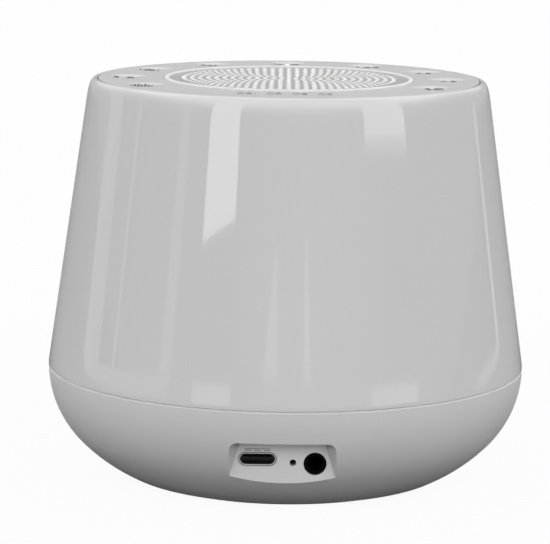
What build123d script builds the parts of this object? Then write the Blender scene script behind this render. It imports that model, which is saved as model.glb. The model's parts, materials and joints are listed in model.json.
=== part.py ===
"""White noise machine for a bedside table.

A glossy tapered shell stands on a matt bowl base. On top, nine dished keys ring a
perforated loudspeaker grille. Inside, a tower carries the loudspeaker, the key board
and a ring of lamps, and the base holds the main board, its sockets and the battery.

Millimetres, +Z up, origin on the table under the centre, the sockets face -Y.
"""

from build123d import *

import os
from math import asin, cos, degrees, radians, sin, sqrt, tan

# ---------------------------------------------------------------- casing sizes
body_radius = 60.0  # at the seam, the widest place
deck_height = 100.0  # control deck above the table
foot_stand = 0.8  # rubber foot proud of the base
bowl_depth = 26.9  # seam above the flat underside
bowl_side_radius = 26.0
bowl_side_angle = 43.8
bowl_under_radius = 42.7
heel_fillet = 3.0
shell_draft = 8.15
skirt_radius = 10.0
crown_drop = 5.5  # where the top edge starts to roll over
crown_run = 1.8
crown_hold = 0.8  # share of the drop and the run that stays nearly straight
wall = 2.4
floor_thickness = 3.0
seam_bevel = 0.3
tongue_height = 2.5
fit_gap = 0.1  # between fixed mouldings
foot_margin = 3.0  # from the rubber ring to the edge of the flat underside
foot_width = 7.0
foot_groove = 1.2
cut_margin = 1.0  # cutters reach this far past what they cut

# ------------------------------------------------------- deck, grille and keys
rim_width = 0.15  # flat top of the shell between its roll and the deck
deck_gap = 0.15
deck_thickness = 2.0
deck_bevel = 0.4
ledge_width = 1.4  # of the shell's ledge under the deck
ledge_thickness = 2.4
key_band_width = 16.55  # of the deck between the grille and the edge
grille_thickness = 1.6
grille_seat_width = 3.2
grille_seat_thickness = 1.2
bead_width = 1.1
bead_height = 0.5
hole_pitch = 2.02
hole_radius = 0.6
hole_sides = 6
cloth_thickness = 0.4
key_angles = {
    "volume_down": 0,
    "volume_up": 30,
    "track_next": 60,
    "power": 90,
    "track_back": 120,
    "lamp": 150,
    "lamp_dim": 180,
    "sound": 210,
    "timer": 330,
}
key_ring_inset = 7.75  # from the edge of the deck to the middle of a key
key_radius = 5.4
key_gap = 0.15
key_dish_radius = 5.0
key_dish_depth = 0.35
key_flange_width = 0.7
key_flange_thickness = 0.7
key_stem_radius = 1.8
key_stem_length = 2.8  # below the deck's underside
key_travel = 0.5
deck_boss_radius = 2.1
deck_boss_angles = [15, 75, 135, 195, 255, 315]

# ------------------------------------------------------------------ key board
switch_size = 6.0
switch_height = 2.8
plunger_radius = 1.6
plunger_height = 2.0
plunger_stand = 0.8  # plunger proud of its switch
plunger_gap = 0.15
well_clearance = 0.1  # under a plunger that is fully pressed
board_thickness = 1.6
key_board_gap = 1.3  # around the loudspeaker's flange
key_board_margin = 1.5  # inside the shell's ledge

# ------------------------------------------------------------ tower and lamps
tower_flange_thickness = 2.4
tower_wall = 2.0
tower_flange_reach = 1.6  # of the tower's top past the loudspeaker's flange
tower_foot_reach = 3.0  # of its foot past the case screws
tower_foot_thickness = 1.8
tower_foot_gap = 0.3
seat_rib_count = 8
seat_rib_reach = 5.2
seat_rib_height = 17.2
seat_rib_thickness = 1.6
lamp_board_gap = 3.0  # around the tower
lamp_board_margin = 3.3  # inside the edge of the tower's foot
lamp_count = 12
lamp_size = 5.0
lamp_height = 1.6

# ---------------------------------------------------------------- loudspeaker
speaker_margin = 0.6  # loudspeaker's flange inside the grille's edge
speaker_flange_width = 4.8
speaker_flange_thickness = 0.8
speaker_sheet = 0.8
speaker_depth = 11.8  # flange face to the top of the magnet cup
speaker_opening_gap = 0.5
gasket_thickness = 1.0
basket_foot_width = 3.3  # around the magnet cup
basket_window_count = 4
basket_window_width = 9.0
cup_radius = 13.0
cup_wall = 2.6
cup_depth = 10.0
pole_radius = 9.2
pole_thickness = 2.0
magnet_radius = 8.6
coil_clearance = 0.3
coil_overlap = 0.2  # winding past the pole at full stroke
coil_former_height = 6.6
cone_sheet = 0.4
cone_neck_thickness = 0.5
cone_lip = 1.2
cone_travel = 0.8
roll_width = 2.4
roll_height = 1.3
surround_sheet = 0.3
surround_lip = 1.4
dust_cap_rise = 2.6
spider_gap = 0.9  # inside the basket's foot

# -------------------------------------------------------------------- sockets
port_recess = 8.0  # flat socket face inside the widest place of the body
port_x = -0.4  # middle of the recess
port_width = 31.0  # at the level of the flat underside
port_side_lean = 16.9  # the face is narrower at its top
port_side_draft = 26.0
port_top_draft = 5.0
port_corner_radius = 2.4
port_top = 18.5  # above the flat underside
port_face_thickness = 2.0
board_underside = 15.5  # of the main board above the flat underside
socket_inset = 0.1
usb_x = -6.3
usb_width = 8.94
usb_height = 3.16
usb_sheet = 0.3
usb_length = 7.35
usb_base_thickness = 1.4
usb_tongue_width = 6.7
usb_tongue_thickness = 0.7
usb_tongue_length = 6.2
usb_gap = 0.13
jack_x = 7.35
jack_bore_radius = 1.8
jack_nose_radius = 2.55
jack_gap = 0.2
jack_height = 5.2
jack_width = 6.4
jack_length = 12.0
jack_depth = 11.5
pinhole_x = 2.1
pinhole_radius = 0.8
pinhole_height = 13.1  # above the flat underside
charge_lamp_width = 2.4
charge_lamp_height = 3.6
charge_lamp_length = 3.0

# --------------------------------------------------------- boards and battery
main_board_width = 38.0
main_board_depth = 27.0
main_board_gap = 0.4
board_post_radius = 2.8
board_post_inset = 3.2
board_chips = [(-7.0, 7.0, 1.2), (3.0, 5.0, 1.0), (9.0, 4.0, 1.0)]  # x, size, height
lead_socket_places = [-10.0, -2.0, 6.0]
lead_socket_width = 6.0
lead_socket_depth = 4.0
lead_socket_height = 4.5
lead_socket_inset = 1.0
cell_radius = 9.15
cell_lift = 0.5  # cell over the floor
cell_length = 65.0
cell_cap_radius = 3.0
cell_cap_height = 0.8
saddle_spacing = 40.0
saddle_thickness = 2.0
saddle_height = 9.0
strap_width = 12.0
strap_thickness = 1.6
strap_tab = 7.0
strap_clearance = 1.6  # to the screw post beside it

# ----------------------------------------------------------------- fasteners
case_screw_angles = [90, 210, 330]
case_post_radius = 4.6
case_post_height = 23.4  # above the flat underside
case_boss_radius = 3.6
case_boss_height = 14.0
case_well_radius = 2.9
case_seat_thickness = 4.0
screw_gap = 0.05  # screw in its pilot hole
hole_gap = 0.3  # screw in a through hole
case_screw = {"shank": 1.45, "head": 2.6, "head_height": 2.0, "length": 12.0}
deck_screw = {"shank": 0.95, "head": 2.1, "head_height": 1.5, "length": 8.0}
speaker_screw = {"shank": 0.75, "head": 1.5, "head_height": 1.1, "length": 6.0}
board_screw = {"shank": 0.95, "head": 1.9, "head_height": 1.4, "length": 6.0}
speaker_screw_angles = [45, 135, 225, 315]
speaker_boss_radius = 2.2
speaker_boss_height = 4.0

# ---------------------------------------------------------- levels and radii
bowl_bottom = foot_stand
seam = bowl_bottom + bowl_depth
floor_top = bowl_bottom + floor_thickness
tongue_top = seam + tongue_height
skirt_top = seam + skirt_radius * sin(radians(shell_draft))
skirt_top_radius = body_radius - skirt_radius * (1 - cos(radians(shell_draft)))
shell_top_radius = skirt_top_radius - (deck_height - skirt_top) * tan(radians(shell_draft))
deck_underside = deck_height - deck_thickness
deck_opening_radius = shell_top_radius - crown_run - rim_width
deck_radius = deck_opening_radius - deck_gap
ledge_radius = deck_opening_radius - ledge_width
key_ring_radius = deck_radius - key_ring_inset
grille_radius = deck_radius - key_band_width
grille_seat = deck_height - grille_thickness
grille_opening_radius = grille_radius + fit_gap
grille_seat_radius = grille_opening_radius - grille_seat_width
key_hole_radius = key_radius + key_gap
key_flange_bottom = deck_underside - key_flange_thickness
plunger_top = deck_underside - key_stem_length
plunger_bottom = plunger_top - plunger_height
switch_top = plunger_top - plunger_stand
key_board_top = switch_top - switch_height
tower_top = key_board_top - board_thickness
tower_flange_bottom = tower_top - tower_flange_thickness
knee_radius = body_radius - bowl_side_radius * (1 - cos(radians(bowl_side_angle)))
knee_height = seam - bowl_side_radius * sin(radians(bowl_side_angle))
under_centre = (
    knee_radius - bowl_under_radius * cos(radians(bowl_side_angle)),
    knee_height + bowl_under_radius * sin(radians(bowl_side_angle)),
)
underside_radius = under_centre[0] + sqrt(bowl_under_radius**2 - (under_centre[1] - bowl_bottom) ** 2)
foot_outer_radius = underside_radius - foot_margin
foot_inner_radius = foot_outer_radius - foot_width
case_screw_circle = (foot_inner_radius + foot_outer_radius) / 2
tower_foot_radius = case_screw_circle + tower_foot_reach
tower_foot_outer_radius = body_radius - wall - tower_foot_gap
lamp_board_bottom = seam + tower_foot_thickness
lamp_board_inner_radius = tower_foot_radius + lamp_board_gap
lamp_board_outer_radius = tower_foot_outer_radius - lamp_board_margin
speaker_flange_radius = grille_radius - speaker_margin
speaker_mouth_radius = speaker_flange_radius - speaker_flange_width
speaker_screw_circle = speaker_flange_radius - speaker_screw["head"] - hole_gap
key_board_inner_radius = speaker_flange_radius + key_board_gap
key_board_outer_radius = ledge_radius - key_board_margin
tower_top_radius = speaker_flange_radius + tower_flange_reach
basket_foot_radius = cup_radius + basket_foot_width
spider_outer_radius = basket_foot_radius - spider_gap
roll_outer_radius = speaker_mouth_radius - speaker_sheet / 2
cone_edge_radius = roll_outer_radius - roll_width
coil_length = pole_thickness + 2 * (cone_travel + coil_overlap)
speaker_seat = tower_top + gasket_thickness
speaker_face = speaker_seat + speaker_flange_thickness
cup_top = speaker_face - speaker_depth
case_post_top = bowl_bottom + case_post_height
case_seat = case_post_top - case_seat_thickness
board_bottom = bowl_bottom + board_underside
board_top = board_bottom + board_thickness
port_face_depth = body_radius - port_recess
board_back = -port_face_depth + port_face_thickness + main_board_gap
usb_level = board_bottom - usb_height / 2
jack_level = board_bottom - jack_height / 2
cell_height = floor_top + cell_lift + cell_radius
strap_reach = cell_radius + strap_thickness + strap_tab
cell_y = case_screw_circle - case_post_radius - strap_clearance - strap_reach

TOP = (Align.CENTER, Align.CENTER, Align.MIN)


# ------------------------------------------------------------------- helpers
def at(radius, angle):
    """Plan position at a radius and an angle in degrees."""
    return radius * cos(radians(angle)), radius * sin(radians(angle))


def lathe(*edges):
    """Solid turned about Z from the edges of a closed outline of (radius, height)."""
    return revolve(Plane.XZ * make_face(edges), Axis.Z)


def turned(*corners):
    """Solid turned about Z from straight runs between (radius, height) corners."""
    return lathe(Polyline(*corners, close=True))


def tube(inner, outer, low, high):
    """Plain ring between two radii and two heights."""
    return turned((inner, low), (outer, low), (outer, high), (inner, high))


def post(place, radius, low, high):
    """Upright cylinder at a plan position."""
    return Pos(*place, low) * Cylinder(radius, high - low, align=TOP)


def block(low, high):
    """Box between its lowest and highest corners."""
    size = [b - a for a, b in zip(low, high)]
    return Pos(*low) * Box(*size, align=(Align.MIN,) * 3)


def screw(place, seat, kind, up=True):
    """Pan head screw whose head rests on seat and whose shank points up or down."""
    body = Cylinder(kind["shank"], kind["length"], align=TOP)
    body += Cylinder(kind["head"], kind["head_height"], align=(Align.CENTER, Align.CENTER, Align.MAX))
    drive = Rot(0, 0, 45) * Box(kind["head"], kind["head"] / 4, kind["head_height"])
    cross = drive + Rot(0, 0, 90) * drive
    body -= Pos(0, 0, -kind["head_height"]) * cross
    return Pos(*place, seat) * (body if up else Rot(180, 0, 0) * body)


def save(name, *solids):
    """Write one node, a group when it has several solids."""
    shape = solids[0] if len(solids) == 1 else Compound(children=list(solids))
    shape.label = name
    export_step(shape, f"parts/{name}.step")


# --------------------------------------------------------------- base shell
def arc_point(centre, radius, angle):
    """Point on an arc, its angle in degrees below the horizontal."""
    return centre[0] + radius * cos(radians(angle)), centre[1] - radius * sin(radians(angle))


def bowl(inset, low, heel=0.0):
    """Solid bowl up to the seam, its skin moved in by inset and cut flat at low."""
    side = (body_radius - bowl_side_radius, seam)
    end = degrees(asin((under_centre[1] - low) / (bowl_under_radius - inset)))
    side_arc = [arc_point(side, bowl_side_radius - inset, bowl_side_angle * k / 2) for k in range(3)]
    angles = [bowl_side_angle, (bowl_side_angle + end) / 2, end]
    under_arc = [arc_point(under_centre, bowl_under_radius - inset, angle) for angle in angles]
    outline = Curve() + [
        ThreePointArc(*side_arc),
        ThreePointArc(*under_arc),
        Polyline(under_arc[2], (0, low), (0, seam), side_arc[0]),
    ]
    section = make_face(outline)
    if heel:
        corner = section.vertices().sort_by_distance((*under_arc[2], 0))[0]
        section = fillet(corner, heel)
    return revolve(Plane.XZ * section, Axis.Z)


def port_section(depth, grow):
    """Outline of the recess outside the socket face, narrower at its rounded top."""
    low = bowl_bottom - cut_margin
    high = bowl_bottom + port_top + depth * tan(radians(port_top_draft)) + grow
    middle = port_width / 2 + depth * tan(radians(port_side_draft)) + grow
    lean = tan(radians(port_side_lean))
    half_low = middle + (bowl_bottom - low) * lean
    half_high = middle - (high - bowl_bottom) * lean
    corners = [
        (port_x - half_low, low),
        (port_x + half_low, low),
        (port_x + half_high, high),
        (port_x - half_high, high),
    ]
    section = make_face(Polyline(*corners, close=True))
    upper = section.vertices().group_by(Axis.Y)[-1]
    return fillet(upper, port_corner_radius + grow)


def port_pocket(grow=0.0):
    """Recess for the sockets, drafted outwards from the flat socket face."""
    start = port_face_depth - (port_face_thickness if grow else 0)
    ends = [start, body_radius + cut_margin]
    sections = [Plane.XZ.offset(y) * port_section(y - port_face_depth, grow) for y in ends]
    return loft(sections, ruled=True)


def make_base_shell():
    """Bowl with tongue, foot groove, screw posts, board posts, saddles and pocket."""
    skin = bowl(0, bowl_bottom, heel_fillet)
    cavity = bowl(wall, floor_top)
    inner = skin - cavity
    inner += skin & port_pocket(grow=port_face_thickness)
    ribs = [
        Rot(0, 0, (k + 0.5) * 360 / seat_rib_count)
        * block(
            (body_radius - seat_rib_reach, -seat_rib_thickness / 2, seam - seat_rib_height),
            (body_radius, seat_rib_thickness / 2, seam),
        )
        for k in range(seat_rib_count)
    ]
    inner += [skin & rib for rib in ribs]
    inner += tube(body_radius - wall, body_radius - wall / 2 - fit_gap, seam - tongue_height, tongue_top)
    inner += [
        post(at(case_screw_circle, a), case_post_radius, bowl_bottom + foot_groove, case_post_top)
        for a in case_screw_angles
    ]
    inner += [skin & post(p, board_post_radius, bowl_bottom, board_bottom) for p in board_post_places()]
    inner += [post(p, board_post_radius, bowl_bottom, cell_height) for p in strap_places()]
    inner += saddles()
    inner -= port_pocket()
    inner -= tube(
        foot_inner_radius - fit_gap,
        foot_outer_radius + fit_gap,
        0,
        bowl_bottom + foot_groove,
    )
    for angle in case_screw_angles:
        place = at(case_screw_circle, angle)
        inner -= post(place, case_well_radius, 0, case_seat)
        inner -= post(place, case_screw["shank"] + hole_gap, case_seat, case_post_top)
    pilot = board_screw["shank"] + screw_gap
    for place in board_post_places():
        inner -= post(place, pilot, board_top - board_screw["length"], board_bottom)
    for place in strap_places():
        inner -= post(place, pilot, cell_height - board_screw["length"], cell_height)
    inner -= socket_openings()
    return chamfer(round_edges(inner, body_radius, seam), seam_bevel)


def board_post_places():
    """Where the four posts of the main board stand."""
    side = main_board_width / 2 - board_post_inset
    back = board_back + 2 * board_post_inset
    front = board_back + main_board_depth - board_post_inset
    return [(x, y) for x in (-side, side) for y in (back, front)]


def strap_places():
    """Where the two screws of the battery strap go."""
    reach = strap_reach - strap_tab / 2
    return [(0, cell_y - reach), (0, cell_y + reach)]


def saddles():
    """Two ribs, hollowed to the battery cell, that rise from the floor."""
    made = []
    for x in (-saddle_spacing / 2, saddle_spacing / 2):
        rib = block(
            (x - saddle_thickness / 2, cell_y - cell_radius, floor_top - floor_thickness / 2),
            (x + saddle_thickness / 2, cell_y + cell_radius, floor_top + saddle_height),
        )
        made.append(rib - cell_space(cell_radius + fit_gap))
    return made


def cell_space(radius):
    """Cylinder along X around the battery cell's axis."""
    return Pos(0, cell_y, cell_height) * Rot(0, 90, 0) * Cylinder(radius, cell_length)


def socket_openings():
    """Openings in the socket face for the charging socket, the lamp and the jack."""
    usb = Pos(usb_x, usb_level) * SlotOverall(usb_width + 2 * usb_gap, usb_height + 2 * usb_gap)
    lamp = Pos(pinhole_x, bowl_bottom + pinhole_height) * Circle(pinhole_radius)
    jack = Pos(jack_x, jack_level) * Circle(jack_nose_radius + jack_gap)
    reach = port_face_thickness + 2 * cut_margin
    return [extrude(port_plane(-cut_margin) * hole, -reach) for hole in (usb, lamp, jack)]


# -------------------------------------------------------------- upper shell
def cone_radius(height):
    """Outer radius of the straight flank of the upper shell."""
    return shell_top_radius + (deck_height - height) * tan(radians(shell_draft))


def make_upper_shell():
    """Tapered shell, open below, with a rolled crown and a ledge for the deck."""
    skirt_centre = (body_radius - skirt_radius, seam)
    skirt = [arc_point(skirt_centre, skirt_radius, -shell_draft * k / 2) for k in range(3)]
    crown_start = deck_height - crown_drop
    crown_turn = crown_start + crown_hold * crown_drop
    crown = [
        (cone_radius(crown_start), crown_start),
        (cone_radius(crown_turn), crown_turn),
        (shell_top_radius - crown_run + crown_hold * crown_run, deck_height),
        (shell_top_radius - crown_run, deck_height),
    ]
    thick = wall / cos(radians(shell_draft))
    ledge_bottom = deck_underside - ledge_thickness
    inner_top = ledge_bottom - ledge_width
    rebate_radius = body_radius - wall / 2
    rebate_top = tongue_top + fit_gap
    inside = Polyline(
        crown[3],
        (deck_opening_radius, deck_height),
        (deck_opening_radius, deck_underside),
        (ledge_radius, deck_underside),
        (ledge_radius, ledge_bottom),
        (cone_radius(inner_top) - thick, inner_top),
        (cone_radius(skirt_top) - thick, skirt_top),
        (body_radius - wall, rebate_top),
        (rebate_radius, rebate_top),
        (rebate_radius, seam),
        skirt[0],
    )
    shell = lathe(ThreePointArc(*skirt), Line(skirt[2], crown[0]), Bezier(*crown), inside)
    return chamfer(round_edges(shell, body_radius, seam), seam_bevel)


def round_edges(shape, radius, height):
    """The circular edges of a radius at a height."""
    circles = shape.edges().filter_by(GeomType.CIRCLE)
    return circles.filter_by(lambda e: abs(e.radius - radius) + abs(e.center().Z - height) < 0.01)


def make_foot_ring():
    """Rubber ring pressed into the groove of the base, over the case screws."""
    return tube(foot_inner_radius, foot_outer_radius, 0, bowl_bottom + foot_groove)


# --------------------------------------------------------- deck and grille
def make_control_deck():
    """Top plate with key openings, a seat for the grille and six screw bosses."""
    deck = turned(
        (grille_seat_radius, grille_seat - grille_seat_thickness),
        (grille_opening_radius + deck_bevel, grille_seat - grille_seat_thickness),
        (grille_opening_radius + deck_bevel, deck_underside),
        (deck_radius, deck_underside),
        (deck_radius, deck_height - deck_bevel),
        (deck_radius - deck_bevel, deck_height),
        (grille_opening_radius, deck_height),
        (grille_opening_radius, grille_seat),
        (grille_seat_radius, grille_seat),
    )
    deck += [post(p, deck_boss_radius, key_board_top, deck_underside) for p in deck_boss_places()]
    pilot = deck_screw["shank"] + screw_gap
    pilot_top = tower_flange_bottom + deck_screw["length"]
    deck -= [post(p, pilot, key_board_top, pilot_top) for p in deck_boss_places()]
    deck -= [post(p, key_hole_radius, deck_underside, deck_height) for p in key_places().values()]
    return deck


def deck_boss_places():
    """Where the bosses under the deck stand, between the keys."""
    return [at(key_ring_radius, angle) for angle in deck_boss_angles]


def key_places():
    """Where each key stands."""
    return {name: at(key_ring_radius, angle) for name, angle in key_angles.items()}


def make_speaker_grille():
    """Disc of concentric rings of holes inside a raised bead.

    Ring k holds six times k holes, so the holes keep an even spacing all over.
    """
    wires = [grille_hole(0, 0)]
    hole_rings = int((grille_seat_radius - hole_radius) / hole_pitch)
    for ring in range(1, hole_rings + 1):
        count = 6 * ring
        wires += [grille_hole(ring * hole_pitch, 90 + 360 * k / count) for k in range(count)]
    field_radius = grille_radius - bead_width
    field = Face(Wire.make_circle(field_radius), wires)
    plate = extrude(Pos(0, 0, grille_seat) * field, grille_thickness)
    bead = turned(
        (field_radius, grille_seat),
        (grille_radius, grille_seat),
        (grille_radius, deck_height),
        (grille_radius - bead_width / 4, deck_height + bead_height),
        (field_radius + bead_width / 4, deck_height + bead_height),
        (field_radius, deck_height),
    )
    return plate + bead


def grille_hole(radius, angle):
    """Outline of one hole of the grille."""
    x, y = at(radius, angle)
    corners = [at(hole_radius, angle + 360 * k / hole_sides) for k in range(hole_sides)]
    return Wire.make_polygon([(x + dx, y + dy, 0) for dx, dy in corners])


def make_grille_cloth():
    """Dust cloth glued under the grille."""
    radius = grille_seat_radius - fit_gap
    return Pos(0, 0, grille_seat - cloth_thickness) * Cylinder(radius, cloth_thickness, align=TOP)


# ------------------------------------------------------------ keys, switches
def make_key(place):
    """Dished cap with a retaining flange under the deck and a stem to its switch."""
    dish = (key_dish_radius**2 + key_dish_depth**2) / (2 * key_dish_depth)
    cap = turned(
        (0, plunger_top),
        (key_stem_radius, plunger_top),
        (key_stem_radius, key_flange_bottom),
        (key_radius + key_flange_width, key_flange_bottom),
        (key_radius + key_flange_width, deck_underside),
        (key_radius, deck_underside),
        (key_radius, deck_height),
        (0, deck_height),
    )
    cap -= Pos(0, 0, deck_height - key_dish_depth + dish) * Sphere(dish)
    return Pos(*place, 0) * cap


def make_plunger(place):
    """Sprung plunger of one switch."""
    return post(place, plunger_radius, plunger_bottom, plunger_top)


def make_tact_switches():
    """The nine switch housings on the key board, each with a well for its plunger."""
    made = []
    half = switch_size / 2
    well_bottom = plunger_bottom - key_travel - well_clearance
    for name, place in key_places().items():
        body = block((-half, -half, key_board_top), (half, half, switch_top))
        body -= post((0, 0), plunger_radius + plunger_gap, well_bottom, switch_top)
        made.append(Pos(*place, 0) * Rot(0, 0, key_angles[name]) * body)
    return made


def make_key_board():
    """Ring board under the keys, screwed between the deck bosses and the tower."""
    board = tube(key_board_inner_radius, key_board_outer_radius, tower_top, key_board_top)
    hole = deck_screw["shank"] + hole_gap
    return board - [post(p, hole, tower_top, key_board_top) for p in deck_boss_places()]


# ------------------------------------------------------------ tower and lamps
def make_speaker_tower():
    """Hollow tower from the base to the deck, with a flange at each end."""
    mouth = speaker_mouth_radius + speaker_opening_gap
    tower = turned(
        (mouth, tower_flange_bottom),
        (tower_top_radius - tower_wall, tower_flange_bottom),
        (tower_foot_radius - tower_wall, seam),
        (tower_foot_outer_radius, seam),
        (tower_foot_outer_radius, lamp_board_bottom),
        (tower_foot_radius, lamp_board_bottom),
        (tower_top_radius, tower_flange_bottom),
        (key_board_outer_radius, tower_flange_bottom),
        (key_board_outer_radius, tower_top),
        (mouth, tower_top),
    )
    boss_top = case_post_top + case_boss_height
    tower += [post(p, case_boss_radius, case_post_top, boss_top) for p in case_screw_places()]
    boss_low = tower_flange_bottom - speaker_boss_height
    tower += [post(p, speaker_boss_radius, boss_low, tower_top) for p in speaker_screw_places()]
    pilot_top = case_seat + case_screw["length"]
    for place in case_screw_places():
        tower -= post(place, case_screw["shank"] + screw_gap, case_post_top, pilot_top)
    for place in speaker_screw_places():
        tower -= post(place, speaker_screw["shank"] + screw_gap, boss_low, tower_top)
    for place in deck_boss_places():
        tower -= post(place, deck_screw["shank"] + hole_gap, tower_flange_bottom, tower_top)
    return tower


def case_screw_places():
    """Where the case screws go up from the underside into the tower."""
    return [at(case_screw_circle, angle) for angle in case_screw_angles]


def speaker_screw_places():
    """Where the loudspeaker is screwed to the tower."""
    return [at(speaker_screw_circle, angle) for angle in speaker_screw_angles]


def make_lamp_board():
    """Ring board on the foot of the tower."""
    top = lamp_board_bottom + board_thickness
    return tube(lamp_board_inner_radius, lamp_board_outer_radius, lamp_board_bottom, top)


def make_lamps():
    """Ring of surface lamps that light the shell from inside."""
    half = lamp_size / 2
    low = lamp_board_bottom + board_thickness
    lamp = block((-half, -half, low), (half, half, low + lamp_height))
    middle = (lamp_board_inner_radius + lamp_board_outer_radius) / 2
    places = [Rot(0, 0, 360 * k / lamp_count) * Pos(middle, 0, 0) for k in range(lamp_count)]
    return [place * lamp for place in places]


# ---------------------------------------------------------------- loudspeaker
def make_speaker_gasket():
    """Foam ring between the loudspeaker's flange and the tower."""
    mouth = speaker_mouth_radius + speaker_opening_gap
    ring = tube(mouth, speaker_flange_radius, tower_top, speaker_seat)
    hole = speaker_screw["shank"] + hole_gap
    return ring - [post(p, hole, tower_top, speaker_seat) for p in speaker_screw_places()]


def make_speaker_basket():
    """Pressed steel basket with four windows, open at the magnet."""
    mouth = speaker_mouth_radius
    basket = turned(
        (pole_radius + cup_wall / 2, cup_top),
        (basket_foot_radius, cup_top),
        (mouth, tower_top),
        (mouth, speaker_seat),
        (speaker_flange_radius, speaker_seat),
        (speaker_flange_radius, speaker_face),
        (mouth - speaker_sheet, speaker_face),
        (mouth - speaker_sheet, tower_top + speaker_sheet / 2),
        (basket_foot_radius - speaker_sheet / 2, cup_top + speaker_sheet),
        (pole_radius + cup_wall / 2, cup_top + speaker_sheet),
    )
    hole = speaker_screw["shank"] + hole_gap
    basket -= [post(p, hole, speaker_seat, speaker_face) for p in speaker_screw_places()]
    half = basket_window_width / 2
    low = cup_top + 2 * speaker_sheet
    high = tower_top - 2 * speaker_sheet
    window = block((basket_foot_radius - cut_margin, -half, low), (mouth + cut_margin, half, high))
    turns = [360 * k / basket_window_count for k in range(basket_window_count)]
    return basket - [Rot(0, 0, turn) * window for turn in turns]


def make_magnet_cup():
    """Steel cup of the motor, open upwards."""
    low = cup_top - cup_depth
    inner = cup_radius - cup_wall
    return turned(
        (0, low),
        (cup_radius, low),
        (cup_radius, cup_top),
        (inner, cup_top),
        (inner, low + cup_wall),
        (0, low + cup_wall),
    )


def make_magnet():
    """Disc magnet on the floor of the cup."""
    low = cup_top - cup_depth + cup_wall
    return post((0, 0), magnet_radius, low, cup_top - pole_thickness)


def make_pole_plate():
    """Pole plate on the magnet, flush with the cup."""
    return post((0, 0), pole_radius, cup_top - pole_thickness, cup_top)


def coil_radii():
    """Inner and outer radius of the coil, in the gap between pole and cup."""
    return pole_radius + coil_clearance, cup_radius - cup_wall - coil_clearance


def make_voice_coil():
    """Winding in the motor's gap, on a former that reaches up to the cone."""
    inner, outer = coil_radii()
    middle = (inner + outer) / 2
    low = cup_top - (pole_thickness + coil_length) / 2
    return turned(
        (inner, low),
        (outer, low),
        (outer, low + coil_length),
        (middle, low + coil_length),
        (middle, cup_top + coil_former_height),
        (inner, cup_top + coil_former_height),
    )


def cone_neck():
    """Where the cone meets the top of the coil's former."""
    inner, outer = coil_radii()
    return (inner + outer) / 2, cup_top + coil_former_height - 2 * cone_lip


def make_speaker_cone():
    """Paper cone with a flat lip for the surround."""
    radius, height = cone_neck()
    lip_bottom = speaker_face - cone_sheet
    return turned(
        (radius, height),
        (cone_edge_radius - cone_lip, lip_bottom),
        (cone_edge_radius, lip_bottom),
        (cone_edge_radius, speaker_face),
        (cone_edge_radius - cone_lip - cone_sheet / 2, speaker_face),
        (radius, height + cone_neck_thickness),
    )


def make_dust_cap():
    """Domed cap that closes the coil's former."""
    inner, outer = coil_radii()
    radius = (inner + outer) / 2
    low = cup_top + coil_former_height
    top = low + dust_cap_rise
    dome = RadiusArc((radius, low), (0, top), -(radius**2 + dust_cap_rise**2) / (2 * dust_cap_rise))
    return lathe(dome, Polyline((0, top), (0, low), (radius, low)))


def make_surround():
    """Rubber roll between the cone's lip and the basket's flange."""
    inner = cone_edge_radius
    outer = roll_outer_radius
    low = speaker_face
    sheet = surround_sheet
    slope = roll_width / 4
    return turned(
        (inner - cone_lip, low),
        (inner, low),
        (inner + slope, low + roll_height - sheet),
        (outer - slope, low + roll_height - sheet),
        (outer, low),
        (outer + surround_lip, low),
        (outer + surround_lip, low + sheet),
        (outer + sheet / 2, low + sheet),
        (outer - slope + sheet / 2, low + roll_height),
        (inner + slope - sheet / 2, low + roll_height),
        (inner - sheet / 2, low + sheet),
        (inner - cone_lip, low + sheet),
    )


def make_spider():
    """Corrugated cloth disc that centres the coil over the motor."""
    inner, outer = coil_radii()
    start = (inner + outer) / 2
    low = cup_top + speaker_sheet
    high = low + 3 * surround_sheet
    sheet = surround_sheet
    step = (spider_outer_radius - start) / 4
    return turned(
        (start, high),
        (start + step, high),
        (start + 2 * step, low + sheet),
        (start + 3 * step, low),
        (spider_outer_radius, low),
        (spider_outer_radius, low + sheet),
        (start + 3 * step, low + sheet),
        (start + 2 * step, low + 2 * sheet),
        (start + step, high + sheet),
        (start, high + sheet),
    )


# -------------------------------------------------------------------- sockets
def port_plane(back=0.0):
    """Plane of the socket face, moved inwards by back, looking out of the rear."""
    return Plane.XZ.offset(port_face_depth - back)


def make_usb_shell():
    """Drawn steel shell of the charging socket, closed at its back."""
    outer = Pos(usb_x, usb_level) * SlotOverall(usb_width, usb_height)
    bore = Pos(usb_x, usb_level) * SlotOverall(usb_width - 2 * usb_sheet, usb_height - 2 * usb_sheet)
    plane = port_plane(socket_inset)
    return extrude(plane * outer, -usb_length) - extrude(plane * bore, usb_sheet - usb_length)


def make_usb_tongue():
    """Insulator of the charging socket with its contact tongue."""
    depth = usb_length - usb_sheet
    base = Pos(usb_x, usb_level) * SlotOverall(usb_width - 2 * usb_sheet, usb_height - 2 * usb_sheet)
    blade = Pos(usb_x, usb_level) * Rectangle(usb_tongue_width, usb_tongue_thickness)
    back = port_plane(socket_inset + depth)
    return extrude(back * base, usb_base_thickness) + extrude(back * blade, usb_tongue_length)


def make_audio_jack():
    """Moulded body of the 3.5 mm socket, its nose in the opening of the socket face."""
    body = block(
        (jack_x - jack_width / 2, board_back, jack_level - jack_height / 2),
        (jack_x + jack_width / 2, board_back + jack_length, board_bottom),
    )
    nose = Pos(jack_x, jack_level) * Circle(jack_nose_radius)
    body += extrude(port_plane(socket_inset) * nose, -port_face_thickness - main_board_gap)
    bore = Pos(jack_x, jack_level) * Circle(jack_bore_radius)
    return body - extrude(port_plane(socket_inset) * bore, -jack_depth)


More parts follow.
